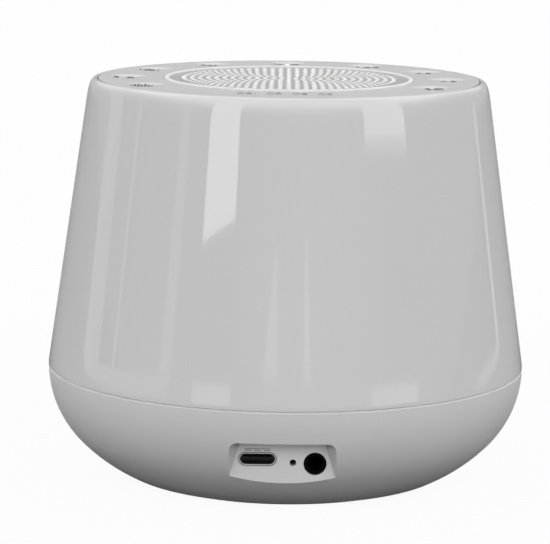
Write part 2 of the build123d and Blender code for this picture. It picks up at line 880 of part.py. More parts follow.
def make_charge_lamp():
    """Side-facing lamp behind the small hole, hung under the main board."""
    half = charge_lamp_width / 2
    return block(
        (pinhole_x - half, board_back, board_bottom - charge_lamp_height),
        (pinhole_x + half, board_back + charge_lamp_length, board_bottom),
    )


# --------------------------------------------------------- boards and battery
def make_main_board():
    """Main board on its four posts, the sockets hung under its rear edge."""
    half = main_board_width / 2
    board = block((-half, board_back, board_bottom), (half, board_back + main_board_depth, board_top))
    hole = board_screw["shank"] + hole_gap
    return board - [post(p, hole, board_bottom, board_top) for p in board_post_places()]


def make_board_chips():
    """Processor, amplifier and charging chips on the main board."""
    middle = board_back + main_board_depth / 2
    made = []
    for x, size, height in board_chips:
        chip = block((-size / 2, -size / 2, 0), (size / 2, size / 2, height))
        made.append(Pos(x, middle, board_top) * chip)
    return made


def make_lead_sockets():
    """White sockets for the leads to the battery, loudspeaker, lamps and keys."""
    front = board_back + main_board_depth - lead_socket_inset
    low = (-lead_socket_width / 2, front - lead_socket_depth, board_top)
    high = (lead_socket_width / 2, front, board_top + lead_socket_height)
    return [Pos(x, 0, 0) * block(low, high) for x in lead_socket_places]


def make_battery_cell():
    """Rechargeable cell on its saddles, its raised pole towards +X."""
    cell = Cylinder(cell_radius, cell_length)
    cell += Pos(0, 0, cell_length / 2) * Cylinder(cell_cap_radius, cell_cap_height, align=TOP)
    return Pos(0, cell_y, cell_height) * Rot(0, 90, 0) * cell


def make_battery_strap():
    """Arched strap over the cell, screwed down at both ends."""
    half = strap_width / 2
    back = cell_y - strap_reach
    front = cell_y + strap_reach
    tab_top = cell_height + strap_thickness
    middle = Pos(0, cell_y, cell_height) * Rot(0, 90, 0)
    arch = middle * Cylinder(cell_radius + strap_thickness, strap_width)
    strap = arch & block((-half, back, cell_height), (half, front, cell_height + strap_reach))
    strap += block((-half, back, cell_height), (half, front, tab_top))
    strap -= cell_space(cell_radius + fit_gap)
    hole = board_screw["shank"] + hole_gap
    return strap - [post(p, hole, cell_height, tab_top) for p in strap_places()]


# ---------------------------------------------------------------------- build
os.makedirs("parts", exist_ok=True)

save("base_shell", make_base_shell())
save("upper_shell", make_upper_shell())
save("foot_ring", make_foot_ring())
save("control_deck", make_control_deck())
save("speaker_grille", make_speaker_grille())
save("grille_cloth", make_grille_cloth())
for key_name, key_place in key_places().items():
    save(f"key_{key_name}", make_key(key_place))
    save(f"plunger_{key_name}", make_plunger(key_place))
save("tact_switches", *make_tact_switches())
save("key_board", make_key_board())
save("speaker_tower", make_speaker_tower())
save("lamp_board", make_lamp_board())
save("lamps", *make_lamps())
save("speaker_gasket", make_speaker_gasket())
save("speaker_basket", make_speaker_basket())
save("magnet_cup", make_magnet_cup())
save("magnet", make_magnet())
save("pole_plate", make_pole_plate())
save("voice_coil", make_voice_coil())
save("speaker_cone", make_speaker_cone())
save("dust_cap", make_dust_cap())
save("surround", make_surround())
save("spider", make_spider())
save("usb_shell", make_usb_shell())
save("usb_tongue", make_usb_tongue())
save("audio_jack", make_audio_jack())
save("charge_lamp", make_charge_lamp())
save("main_board", make_main_board())
save("board_chips", *make_board_chips())
save("lead_sockets", *make_lead_sockets())
save("battery_cell", make_battery_cell())
save("battery_strap", make_battery_strap())
save("case_screws", *[screw(p, case_seat, case_screw) for p in case_screw_places()])
save("deck_screws", *[screw(p, tower_flange_bottom, deck_screw) for p in deck_boss_places()])
save("speaker_screws", *[screw(p, speaker_face, speaker_screw, up=False) for p in speaker_screw_places()])
save("board_screws", *[screw(p, board_top, board_screw, up=False) for p in board_post_places()])
strap_seat = cell_height + strap_thickness
save("strap_screws", *[screw(p, strap_seat, board_screw, up=False) for p in strap_places()])
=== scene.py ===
import json
from math import atan2, cos, degrees, pi, radians, sin, tan

import bmesh
import bpy
from mathutils import Matrix, Vector
from mathutils.geometry import delaunay_2d_cdt


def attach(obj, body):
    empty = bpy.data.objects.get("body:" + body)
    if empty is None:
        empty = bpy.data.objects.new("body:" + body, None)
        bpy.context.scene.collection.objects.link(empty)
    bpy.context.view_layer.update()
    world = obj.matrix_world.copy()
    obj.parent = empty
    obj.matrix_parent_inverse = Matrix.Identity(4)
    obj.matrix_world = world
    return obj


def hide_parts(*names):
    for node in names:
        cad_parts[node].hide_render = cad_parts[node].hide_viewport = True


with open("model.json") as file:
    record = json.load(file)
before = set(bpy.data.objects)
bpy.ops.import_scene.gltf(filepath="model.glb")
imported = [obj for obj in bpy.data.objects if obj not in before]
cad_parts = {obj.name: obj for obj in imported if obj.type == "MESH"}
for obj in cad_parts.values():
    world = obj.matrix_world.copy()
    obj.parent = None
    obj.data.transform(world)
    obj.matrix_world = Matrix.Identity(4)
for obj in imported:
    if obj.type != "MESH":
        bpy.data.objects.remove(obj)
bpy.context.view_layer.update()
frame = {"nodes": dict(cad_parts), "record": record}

MM = 0.001

# ---------------------------- sizes, in millimetres and degrees, as in the CAD
BODY_RADIUS = 60.0
DECK_HEIGHT = 100.0
SEAM = 27.7
SHELL_DRAFT = 8.15
SKIRT_RADIUS = 10.0
CROWN_DROP = 5.5
CROWN_RUN = 1.8
CROWN_HOLD = 0.8  # share of the drop and the run that stays nearly straight
WALL = 2.4
SEAM_BEVEL = 0.3
RIM_WIDTH = 0.15
DECK_GAP = 0.15
DECK_THICKNESS = 2.0
LEDGE_WIDTH = 1.4
LEDGE_THICKNESS = 2.4
KEY_BAND_WIDTH = 16.55
GRILLE_THICKNESS = 1.6
GRILLE_GAP = 0.1
BEAD_WIDTH = 1.1
HOLE_RINGS = 13
HOLE_PITCH = 2.02
SECTORS = 6  # holes on the first ring, and more on each next one
KEY_RING_INSET = 7.75
KEY_RADIUS = 5.4
KEY_DISH_RADIUS = 5.0
KEY_DISH_DEPTH = 0.35
KEY_ANGLES = {
    "volume_down": 0,
    "volume_up": 30,
    "track_next": 60,
    "power": 90,
    "track_back": 120,
    "lamp": 150,
    "lamp_dim": 180,
    "sound": 210,
    "timer": 330,
}
SEAT_WIDTH = 3.2
SEAT_THICKNESS = 1.2
BOSS_ANGLES = (15, 75, 135, 195, 255, 315)
BOSS_RADIUS = 2.1
BOSS_BOTTOM = 91.6
PILOT_RADIUS = 1.0
PILOT_TOP = 95.6
PORT_FACE = -52.0
SOCKET_INSET = 0.1
USB_X = -6.3
USB_LEVEL = 14.72
USB_WIDTH = 8.94
USB_HEIGHT = 3.16
USB_SHEET = 0.3

SKIRT_TOP = SEAM + SKIRT_RADIUS * sin(radians(SHELL_DRAFT))
SKIRT_TOP_RADIUS = BODY_RADIUS - SKIRT_RADIUS * (1 - cos(radians(SHELL_DRAFT)))
SHELL_TOP_RADIUS = SKIRT_TOP_RADIUS - (DECK_HEIGHT - SKIRT_TOP) * tan(radians(SHELL_DRAFT))
DECK_OPENING_RADIUS = SHELL_TOP_RADIUS - CROWN_RUN - RIM_WIDTH
DECK_RADIUS = DECK_OPENING_RADIUS - DECK_GAP
KEY_RING_RADIUS = DECK_RADIUS - KEY_RING_INSET
GRILLE_RADIUS = DECK_RADIUS - KEY_BAND_WIDTH

# ------------------------------- sizes of the edges and details that only show
SEAM_EASE = 0.02
LIP_BEVEL = 0.1
SKIRT_STEPS = 10
FLANK_LEVELS = (40, 50, 60, 70, 80, 88)
CROWN_STEPS = 16
TONGUE_SEAT = 2.6  # above the seam, where the base's tongue ends
WALL_FOOT = 5.0  # above the seam, where the wall is full again
BEAD_HEIGHT = 0.3
BEAD_STEPS = 12
HOLE_RADIUS = 0.58
HOLE_BEVEL = 0.06
HOLE_EASE = 0.3  # share of the bevel that its middle edge takes
KEY_GAP = 0.06
DECK_CUT_BACK = 0.05  # wider gap than the CAD's between deck and shell
RIM_ROUND = 0.06
HOLE_ROUND = 0.05
SEAT_EDGE = 0.4
BOSS_SLACK = 0.1  # keeps the faces that meet a boss's sides
BASE_EDGE = 0.18
SOCKET_PROUD = 0.02
RIM_SHY = 0.2  # of the painted highlight rim inside the drawn shell
SHELL_SIDES = 256
RING_SIDES = 192
KEY_SIDES = 64
HOLE_SIDES = 16
SPOT_SIDES = 24
LEVEL = 0.9999  # upward part of a normal from which a face counts as level


# ---------------------------------------------------------------- mesh helpers
def obj_from_bmesh(name, bm, material, smooth_angle=40, flat_top=False):
    """New piece from a bmesh in millimetres, smooth but for its sharp edges.

    flat_top keeps level faces from shading into the rounded edges around them.
    """
    bmesh.ops.remove_doubles(bm, verts=bm.verts, dist=1e-5)
    bmesh.ops.recalc_face_normals(bm, faces=bm.faces)
    bmesh.ops.scale(bm, vec=(MM, MM, MM), verts=bm.verts)
    for edge in bm.edges:
        edge.smooth = not (edge.is_manifold and edge.calc_face_angle(0) > radians(smooth_angle))
    mesh = bpy.data.meshes.new(name)
    bm.to_mesh(mesh)
    bm.free()
    mesh.shade_smooth()
    if flat_top:
        sloping = [abs(p.normal.z) < LEVEL for p in mesh.polygons]
        mesh.polygons.foreach_set("use_smooth", sloping)
    mesh.materials.append(material)
    piece = bpy.data.objects.new(name, mesh)
    bpy.context.scene.collection.objects.link(piece)
    return piece


def smooth_cad(name, angle=35):
    """Smooth shading on a CAD node, sharp at its edges and flat on its level faces."""
    piece = frame["nodes"][name]
    mesh = piece.data
    bm = bmesh.new()
    bm.from_mesh(mesh)
    sharp = [e.calc_face_angle(0) > radians(angle) for e in bm.edges]
    bm.free()
    level = [abs(p.normal.z) > LEVEL for p in mesh.polygons]
    mesh.shade_smooth()
    for key, domain, values in (("sharp_edge", "EDGE", sharp), ("sharp_face", "FACE", level)):
        attribute = mesh.attributes.get(key) or mesh.attributes.new(key, "BOOLEAN", domain)
        attribute.data.foreach_set("value", values)
    return piece


def lathe_bmesh(profile, segments):
    """Closed or open profile of (radius, height) turned about Z."""
    bm = bmesh.new()
    rings = []
    for radius, height in profile:
        if radius < 1e-6:
            rings.append([bm.verts.new((0, 0, height))] * segments)
            continue
        turn = [2 * pi * k / segments for k in range(segments)]
        rings.append([bm.verts.new((radius * cos(a), radius * sin(a), height)) for a in turn])
    for low, high in zip(rings, rings[1:]):
        for k in range(segments):
            corners = [low[k], low[(k + 1) % segments], high[(k + 1) % segments], high[k]]
            corners = [v for i, v in enumerate(corners) if v not in corners[:i]]
            if len(corners) > 2:
                bm.faces.new(corners)
    return bm


def arc(centre, radius, start, end, steps):
    """Points on an arc in the (radius, height) plane, angles in degrees."""
    angles = [radians(start + (end - start) * k / steps) for k in range(steps + 1)]
    return [(centre[0] + radius * cos(a), centre[1] + radius * sin(a)) for a in angles]


def polar(radius, angle):
    """Plan position at a radius and an angle in degrees."""
    return radius * cos(radians(angle)), radius * sin(radians(angle))


# ------------------------------------------------------------------- materials
def new_material(name):
    """Material with its node tree and its Principled shader."""
    mat = bpy.data.materials.new(name)
    mat.use_nodes = True
    tree = mat.node_tree
    return mat, tree, tree.nodes["Principled BSDF"]


def node(tree, kind, **values):
    """Node of a kind, with its inputs set by name."""
    made = tree.nodes.new(kind)
    for key, value in values.items():
        name = key.replace("_", " ")
        if name in made.inputs:
            made.inputs[name].default_value = value
        else:
            setattr(made, key, value)
    return made


def grain(tree, shader, scale, strength, distance):
    """Fine bump of a moulded or sprayed surface, in object space."""
    where = node(tree, "ShaderNodeTexCoord")
    noise = node(tree, "ShaderNodeTexNoise", Scale=scale, Detail=3.0, Roughness=0.6)
    bump = node(tree, "ShaderNodeBump", Strength=strength, Distance=distance)
    tree.links.new(where.outputs["Object"], noise.inputs["Vector"])
    tree.links.new(noise.outputs["Fac"], bump.inputs["Height"])
    tree.links.new(bump.outputs["Normal"], shader.inputs["Normal"])
    return where


def mottle(tree, shader, where, colour, spread, scale, socket="Base Color"):
    """Slow, slight change of colour over the surface."""
    noise = node(tree, "ShaderNodeTexNoise", Scale=scale, Detail=2.0)
    ramp = node(tree, "ShaderNodeValToRGB")
    low = [max(0.0, c * (1 - spread)) for c in colour]
    high = [min(1.0, c * (1 + spread)) for c in colour]
    ramp.color_ramp.elements[0].color = (*low, 1)
    ramp.color_ramp.elements[1].color = (*high, 1)
    ramp.color_ramp.elements[0].position = 0.3
    ramp.color_ramp.elements[1].position = 0.7
    tree.links.new(where.outputs["Object"], noise.inputs["Vector"])
    tree.links.new(noise.outputs["Fac"], ramp.inputs["Fac"])
    tree.links.new(ramp.outputs["Color"], shader.inputs[socket])


def uneven_roughness(tree, shader, where, low, high, scale):
    """Roughness that wanders between two values."""
    noise = node(tree, "ShaderNodeTexNoise", Scale=scale, Detail=3.0)
    span = node(tree, "ShaderNodeMapRange")
    span.inputs["To Min"].default_value = low
    span.inputs["To Max"].default_value = high
    tree.links.new(where.outputs["Object"], noise.inputs["Vector"])
    tree.links.new(noise.outputs["Fac"], span.inputs["Value"])
    tree.links.new(span.outputs["Result"], shader.inputs["Roughness"])


def plastic(name, colour, rough, grain_scale, grain_depth, spread, specular):
    """Moulded plastic, rubber, board, cloth or ink: grained, slightly mottled."""
    mat, tree, shader = new_material(name)
    where = grain(tree, shader, grain_scale, 1.0, grain_depth * MM)
    mottle(tree, shader, where, colour, spread, PLASTIC_MOTTLE)
    smoothest, roughest = rough * (1 - PLASTIC_SWING), min(1.0, rough * (1 + PLASTIC_SWING))
    uneven_roughness(tree, shader, where, smoothest, roughest, PLASTIC_PATCH)
    shader.inputs["Specular IOR Level"].default_value = specular
    return mat


def metal(name, colour, rough):
    """Bare or plated metal with fine scratches."""
    mat, tree, shader = new_material(name)
    where = grain(tree, shader, SCRATCH_SCALE, SCRATCH_STRENGTH, SCRATCH_DEPTH * MM)
    mottle(tree, shader, where, colour, METAL_SPREAD, METAL_MOTTLE)
    smoothest, roughest = rough * (1 - METAL_SWING), rough * (1 + METAL_SWING)
    uneven_roughness(tree, shader, where, smoothest, roughest, METAL_PATCH)
    shader.inputs["Metallic"].default_value = 1.0
    return mat


def grey(level):
    """Linear colour of an sRGB grey from 0 to 255."""
    value = level / 255
    linear = value / 12.92 if value <= 0.04045 else ((value + 0.055) / 1.055) ** 2.4
    return (linear, linear, linear)


# Scales are per metre, swings and spreads are shares of the value, depths are in mm.
PLASTIC_MOTTLE, PLASTIC_PATCH, PLASTIC_SWING = 30.0, 60.0, 0.08
METAL_MOTTLE, METAL_PATCH, METAL_SWING, METAL_SPREAD = 80.0, 300.0, 0.2, 0.05
SCRATCH_SCALE, SCRATCH_STRENGTH, SCRATCH_DEPTH = 900.0, 0.4, 0.004
LAMP_GLOW = 0.5

# name: colour, roughness, scale and depth of the grain, spread of the colour, specular
PLASTICS = {
    "shell_gloss": (grey(193), 0.035, 40, 0.0008, 0.004, 0.5),
    "base_matt": (grey(193), 0.5, 2600, 0.008, 0.012, 0.3),
    "deck_matt": (grey(192), 0.2, 3000, 0.003, 0.012, 0.5),
    # dark grey on the deck plate's outer wall: painted shade of the gap between deck and shell
    "deck_edge_painted_shade": (grey(60), 0.6, 3000, 0.002, 0.004, 0.2),
    "grille_face": (grey(118), 0.25, 3000, 0.003, 0.012, 0.5),
    # near-white hole walls and bevels of the grille: painted highlight where they face the front
    # light
    "grille_wall_painted_highlight": (grey(248), 0.4, 3000, 0.002, 0.004, 0.5),
    "grille_bead": (grey(212), 0.4, 3000, 0.004, 0.012, 0.3),
    "print_ink": (grey(40), 0.6, 3000, 0.002, 0.05, 0.1),
    # grey ink of the printed minute figures, and painted shade on the moulded supply sign
    "faint_ink_and_relief_shade": (grey(120), 0.6, 3000, 0.002, 0.05, 0.1),
    "lamp_window": ((0.9, 0.9, 0.9), 0.2, 800, 0.002, 0.02, 0.5),
    # light grey front edge of the steel socket shell: painted highlight of its glint
    "socket_rim_painted_highlight": (grey(182), 0.35, 1800, 0.004, 0.02, 0.5),
    "jack_plastic": ((0.002, 0.002, 0.002), 0.6, 1800, 0.01, 0.1, 0.03),
    "tongue_plastic": ((0.006, 0.006, 0.006), 0.3, 1800, 0.01, 0.1, 0.5),
    # near-black lens of the charge lamp: painted shade for the dark inside of its pinhole
    "smoked_resin": ((0.004, 0.004, 0.004), 0.12, 500, 0.004, 0.1, 0.25),
    "foot_rubber": ((0.02, 0.02, 0.021), 0.75, 1500, 0.03, 0.1, 0.5),
    "black_cloth": ((0.30, 0.30, 0.30), 0.9, 2500, 0.05, 0.1, 0.5),
    "black_plastic": ((0.005, 0.005, 0.005), 0.4, 1800, 0.01, 0.1, 0.15),
    "plunger_plastic": ((0.012, 0.012, 0.012), 0.45, 1800, 0.01, 0.1, 0.5),
    "board_green": ((0.01, 0.09, 0.03), 0.35, 700, 0.01, 0.1, 0.5),
    "board_white": ((0.8, 0.8, 0.78), 0.4, 700, 0.01, 0.03, 0.5),
    "inner_plastic": ((0.78, 0.78, 0.76), 0.4, 2000, 0.01, 0.012, 0.5),
    "lamp_resin": ((0.85, 0.78, 0.45), 0.2, 500, 0.005, 0.012, 0.5),
    "foam_black": ((0.015, 0.015, 0.015), 0.95, 900, 0.12, 0.2, 0.5),
    "pressed_steel": ((0.01, 0.01, 0.01), 0.35, 900, 0.02, 0.1, 0.5),
    "cone_paper": ((0.03, 0.03, 0.03), 0.85, 1200, 0.05, 0.15, 0.5),
    "roll_rubber": ((0.012, 0.012, 0.012), 0.5, 900, 0.01, 0.1, 0.5),
    "spider_cloth": ((0.45, 0.28, 0.08), 0.85, 2200, 0.06, 0.1, 0.5),
    "cell_wrap": ((0.03, 0.12, 0.36), 0.25, 300, 0.01, 0.05, 0.5),
}
# name: colour, roughness
METALS = {
    "plated_steel": ((0.62, 0.62, 0.63), 0.22),
    "magnet_metal": ((0.45, 0.45, 0.47), 0.3),
    "coil_copper": ((0.66, 0.30, 0.14), 0.35),
    "screw_steel": ((0.40, 0.40, 0.41), 0.35),
}
finishes = {name: plastic(name, *values) for name, values in PLASTICS.items()}
finishes |= {name: metal(name, *values) for name, values in METALS.items()}
lit_window = finishes["lamp_window"].node_tree.nodes["Principled BSDF"]
lit_window.inputs["Emission Strength"].default_value = LAMP_GLOW

for entry in frame["record"]["subparts"]:
    cad_node = smooth_cad(entry["node"])
    cad_node.data.materials.clear()
    cad_node.data.materials.append(finishes[entry["material_slot"]])

for name, finish in (("audio_jack", "jack_plastic"), ("usb_tongue", "tongue_plastic")):
    frame["nodes"][name].data.materials[0] = finishes[finish]

bevel = frame["nodes"]["base_shell"].modifiers.new("edge", "BEVEL")
bevel.limit_method = "ANGLE"
bevel.angle_limit = radians(50)
bevel.width = BASE_EDGE * MM
bevel.segments = 2
bevel.harden_normals = True


# ------------------------------------------------------------------ upper shell
def cone_radius(height):
    """Outer radius of the shell's straight flank."""
    return SHELL_TOP_RADIUS + (DECK_HEIGHT - height) * tan(radians(SHELL_DRAFT))


def crown_points(steps):
    """Cubic roll from the flank to the top edge."""
    low = DECK_HEIGHT - CROWN_DROP
    turn = low + CROWN_HOLD * CROWN_DROP
    corners = [
        (cone_radius(low), low),
        (cone_radius(turn), turn),
        (SHELL_TOP_RADIUS - CROWN_RUN + CROWN_HOLD * CROWN_RUN, DECK_HEIGHT),
        (SHELL_TOP_RADIUS - CROWN_RUN, DECK_HEIGHT),
    ]
    points = []
    for k in range(steps + 1):
        t = k / steps
        weights = ((1 - t) ** 3, 3 * t * (1 - t) ** 2, 3 * t * t * (1 - t), t**3)
        points.append(tuple(sum(w * p[i] for w, p in zip(weights, corners)) for i in (0, 1)))
    return points


def make_shell():
    """Glossy tapered shell, turned finely enough for clean reflections."""
    bend = (BODY_RADIUS - SKIRT_RADIUS, SEAM)
    skirt = arc(bend, SKIRT_RADIUS, 0, SHELL_DRAFT, SKIRT_STEPS)
    opening = DECK_OPENING_RADIUS
    ledge = DECK_HEIGHT - DECK_THICKNESS
    ledge_foot = ledge - LEDGE_THICKNESS
    wall_top, wall_foot = ledge_foot - LEDGE_WIDTH, SEAM + WALL_FOOT
    thick = WALL / cos(radians(SHELL_DRAFT))
    seat = SEAM + TONGUE_SEAT
    profile = [(BODY_RADIUS - SEAM_BEVEL, SEAM), (BODY_RADIUS - SEAM_EASE, SEAM + SEAM_BEVEL)]
    profile += skirt[2:]  # its first two points give way to the bevel
    profile += [(cone_radius(level), level) for level in FLANK_LEVELS]
    profile += crown_points(CROWN_STEPS)[:-1]
    profile += [
        (opening + LIP_BEVEL, DECK_HEIGHT),
        (opening, DECK_HEIGHT - LIP_BEVEL),
        (opening, ledge),
        (opening - LEDGE_WIDTH, ledge),
        (opening - LEDGE_WIDTH, ledge_foot),
        (cone_radius(wall_top) - thick, wall_top),
        (cone_radius(wall_foot) - thick, wall_foot),
        (BODY_RADIUS - WALL, seat),
        (BODY_RADIUS - WALL / 2, seat),
        (BODY_RADIUS - WALL / 2, SEAM),
    ]
    bm = lathe_bmesh(profile + profile[:1], SHELL_SIDES)
    return obj_from_bmesh("shell_skin", bm, finishes["shell_gloss"], 30)


shell = make_shell()
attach(shell, "housing")
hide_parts("upper_shell")


# ---------------------------------------------------------------------- grille
def hole_places():
    """Places and angles of the holes: one in the centre, then six times k on ring k."""
    places = [(0.0, 0.0, 90.0)]
    for ring in range(1, HOLE_RINGS + 1):
        for k in range(SECTORS * ring):
            angle = 90 + 360 * k / (SECTORS * ring)
            places.append((*polar(ring * HOLE_PITCH, angle), angle))
    return places


def ring_points(x, y, radius, sides, turn):
    """Corners of a polygon round a point."""
    turns = [radians(turn) + 2 * pi * k / sides for k in range(sides)]
    return [(x + radius * cos(a), y + radius * sin(a)) for a in turns]


def level_faces(bm, loops, level, in_hole):
    """Level plate between closed loops, left open where in_hole says so."""
    points, edges = [], []
    for loop in loops:
        start = len(points)
        points += [Vector(p) for p in loop]
        edges += [(start + k, start + (k + 1) % len(loop)) for k in range(len(loop))]
    flat, _, faces, *_ = delaunay_2d_cdt(points, edges, [], 1, 1e-6)
    verts = [bm.verts.new((p.x, p.y, level)) for p in flat]
    for face in faces:
        middle = sum((flat[i] for i in face), Vector((0, 0))) / len(face)
        if not in_hole(middle):
            bm.faces.new([verts[i] for i in face])


def wall_faces(bm, x, y, sides, turn, steps, index=0):
    """Walls round a point, through rings of (radius, height)."""
    rings = [[bm.verts.new((*p, z)) for p in ring_points(x, y, r, sides, turn)] for r, z in steps]
    for upper, lower in zip(rings, rings[1:]):
        for k in range(sides):
            n = (k + 1) % sides
            wall = bm.faces.new((upper[k], upper[n], lower[n], lower[k]))
            wall.material_index = index


def in_grille_hole(middle):
    """Whether a place on the grille is inside the nearest of its holes."""
    ring = round(middle.length / HOLE_PITCH)
    if ring > HOLE_RINGS:
        return False
    count = max(1, SECTORS * ring)
    turn = degrees(atan2(middle.y, middle.x)) - 90
    k = round(turn / 360 * count)
    centre = Vector(polar(ring * HOLE_PITCH, 90 + 360 * k / count))
    return (middle - centre).length < HOLE_RADIUS


def make_grille():
    """Perforated disc with bevelled holes inside its raised bead."""
    field = GRILLE_RADIUS - BEAD_WIDTH
    top = DECK_HEIGHT
    low = DECK_HEIGHT - GRILLE_THICKNESS
    mouth = HOLE_RADIUS + HOLE_BEVEL
    places = hole_places()
    loops = [ring_points(0, 0, field, RING_SIDES, 0)]
    loops += [ring_points(x, y, mouth, HOLE_SIDES, a) for x, y, a in places]
    bm = bmesh.new()
    level_faces(bm, loops, top, in_grille_hole)
    loops = [ring_points(0, 0, field, RING_SIDES, 0)]
    loops += [ring_points(x, y, HOLE_RADIUS, HOLE_SIDES, a) for x, y, a in places]
    level_faces(bm, loops, low, in_grille_hole)
    ease = HOLE_BEVEL * HOLE_EASE
    steps = [(mouth, top), (HOLE_RADIUS + ease, top - ease)]
    steps += [(HOLE_RADIUS, top - HOLE_BEVEL), (HOLE_RADIUS, low)]
    for x, y, a in places:
        # walls and bevels of the holes take the near-white painted highlight
        wall_faces(bm, x, y, HOLE_SIDES, a, steps, 1)
    middle = GRILLE_RADIUS - BEAD_WIDTH / 2
    half = BEAD_WIDTH / 2
    over = arc((0, 0), 1, 0, 180, BEAD_STEPS)
    crest = [(middle + r * half, top + h * BEAD_HEIGHT) for r, h in over]
    wall_faces(bm, 0, 0, RING_SIDES, 0, [(field, low), (GRILLE_RADIUS, low), *crest], 2)
    plate = obj_from_bmesh("grille_plate", bm, finishes["grille_face"], 60)
    plate.data.materials.append(finishes["grille_wall_painted_highlight"])
    plate.data.materials.append(finishes["grille_bead"])
    return plate


grille = make_grille()
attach(grille, "housing")
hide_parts("speaker_grille")


# ---------------------------------------------------------------- control deck
def rounded(radius, height, size, outward):
    """Points over a rounded upper edge, from the top face to the wall."""
    steps = [radians(a) for a in (90, 65, 40, 20, 0)]
    return [(radius - outward * size * (1 - cos(a)), height - size * (1 - sin(a))) for a in steps]


def make_deck():
    """Top plate with softly rounded edges, its seat for the grille and its bosses."""
    keys = [Vector(polar(KEY_RING_RADIUS, a)) for a in KEY_ANGLES.values()]
    bosses = [Vector(polar(KEY_RING_RADIUS, a)) for a in BOSS_ANGLES]
    hole = KEY_RADIUS + KEY_GAP
    opening = GRILLE_RADIUS + GRILLE_GAP
    underside = DECK_HEIGHT - DECK_THICKNESS
    seat = DECK_HEIGHT - GRILLE_THICKNESS
    rim = DECK_RADIUS - DECK_CUT_BACK
    outer = rounded(rim, DECK_HEIGHT, RIM_ROUND, 1)
    mouth = rounded(hole, DECK_HEIGHT, HOLE_ROUND, -1) + [(hole, underside)]
    seat_foot = seat - SEAT_THICKNESS
    inner = rounded(opening, DECK_HEIGHT, HOLE_ROUND, -1)
    inner += [(opening, seat), (opening - SEAT_WIDTH, seat), (opening - SEAT_WIDTH, seat_foot)]
    inner += [(opening + SEAT_EDGE, seat_foot), (opening + SEAT_EDGE, underside)]
    boss = [(BOSS_RADIUS, underside), (BOSS_RADIUS, BOSS_BOTTOM)]
    boss += [(PILOT_RADIUS, BOSS_BOTTOM), (PILOT_RADIUS, PILOT_TOP), (0, PILOT_TOP)]

    def in_opening(middle):
        return middle.length < opening or any((middle - k).length < hole for k in keys)

    def in_opening_or_boss(middle):
        near = BOSS_RADIUS - BOSS_SLACK
        return in_opening(middle) or any((middle - b).length < near for b in bosses)

    bm = bmesh.new()
    loops = [ring_points(0, 0, steps[0][0], RING_SIDES, 0) for steps in (outer, inner)]
    loops += [ring_points(*k, mouth[0][0], KEY_SIDES, 0) for k in keys]
    level_faces(bm, loops, DECK_HEIGHT, in_opening)
    loops = [ring_points(0, 0, steps[-1][0], RING_SIDES, 0) for steps in (outer, inner)]
    loops += [ring_points(*k, hole, KEY_SIDES, 0) for k in keys]
    loops += [ring_points(*b, BOSS_RADIUS, KEY_SIDES, 0) for b in bosses]
    level_faces(bm, loops, underside, in_opening_or_boss)
    wall_faces(bm, 0, 0, RING_SIDES, 0, outer)
    # the outer wall below the rounding takes the dark painted shade of the gap to the shell
    wall_faces(bm, 0, 0, RING_SIDES, 0, [outer[-1], (rim, underside)], 1)
    wall_faces(bm, 0, 0, RING_SIDES, 0, inner)
    for place, steps in [(k, mouth) for k in keys] + [(b, boss) for b in bosses]:
        wall_faces(bm, *place, KEY_SIDES, 0, steps)
    plate = obj_from_bmesh("deck_plate", bm, finishes["deck_matt"], 40, True)
    plate.data.materials.append(finishes["deck_edge_painted_shade"])
    return plate


deck = make_deck()
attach(deck, "housing")
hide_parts("control_deck")


# ----------------------------------------------------------- printed pictograms
INK_RISE = 0.05  # of its face over the surface under it
INK_DEPTH = 0.09  # from its face down to its sunken underside
INK_STEP = 0.8  # longer edges are divided, so that ink follows a key's dish
LINE = 0.42
FINE_LINE = 0.22
PRINT_TALL = 1.6  # stretch of the signs from front to back
FIGURE_HEIGHT = 2.0
FIGURE_WIDTH = 0.6 * FIGURE_HEIGHT
FIGURE_LINE = 0.24


def bar(ax, ay, bx, by, width=LINE):
    """Straight stroke between two points."""
    a, b = Vector((ax, ay)), Vector((bx, by))
    along = (b - a).normalized() * width / 2
    across = Vector((-along.y, along.x))
    return [tuple(p) for p in (a - across, b - across, b + across, a + across)]


def hoop(x, y, radius, start=0, end=360, width=FINE_LINE):
    """Stroke along an arc, as one quad for every 20 degrees."""
    steps = max(1, round((end - start) / 20))
    turns = [start + (end - start) * k / steps for k in range(steps + 1)]
    places = [[polar(r, a) for a in turns] for r in (radius - width / 2, radius + width / 2)]
    inner, outer = ([(x + px, y + py) for px, py in side] for side in places)
    return [[inner[k], outer[k], outer[k + 1], inner[k + 1]] for k in range(steps)]


def arrow(x, size):
    """Filled triangle that points along its size's sign."""
    half = abs(size) * 0.6
    return [(x, -half), (x + size, 0), (x, half)]


def speaker(x):
    """Small loudspeaker seen from its side."""
    upper = [(x + 0.2, 1.1), (x - 0.6, 0.45), (x - 1.1, 0.45)]
    return [[(px, -py) for px, py in reversed(upper)] + upper]


def sun(x, radius, rays):
    """Ring with short rays around it."""
    made = hoop(x, 0, radius)
    for k in range(rays):
        c, s = polar(radius, 360 * k / rays)
        made.append(bar(x + c * 1.5, s * 1.5, x + c * 2.1, s * 2.1))
    return made


def moon(x, outer, inner):
    """Crescent of two arcs."""
    return hoop(x, 0, outer, 60, 300) + hoop(x + 0.6, 0, inner, 110, 250)


def clock(x):
    """Round face with two hands."""
    return hoop(x, 0, 1.1) + [bar(x, 0, x, 0.7), bar(x + 0.17, 0, x + 0.6, 0)]


def glow(radius, half_angle):
    """Two arcs that face each other."""
    sides = [(turn - half_angle, turn + half_angle) for turn in (0, 180)]
    return [quad for start, end in sides for quad in hoop(0, 0, radius, start, end)]


def wave(heights, step, width):
    """Row of upright strokes."""
    middle = len(heights) // 2
    places = [(k - middle) * step for k in range(len(heights))]
    return [bar(x, -h, x, h, width) for x, h in zip(places, heights)]


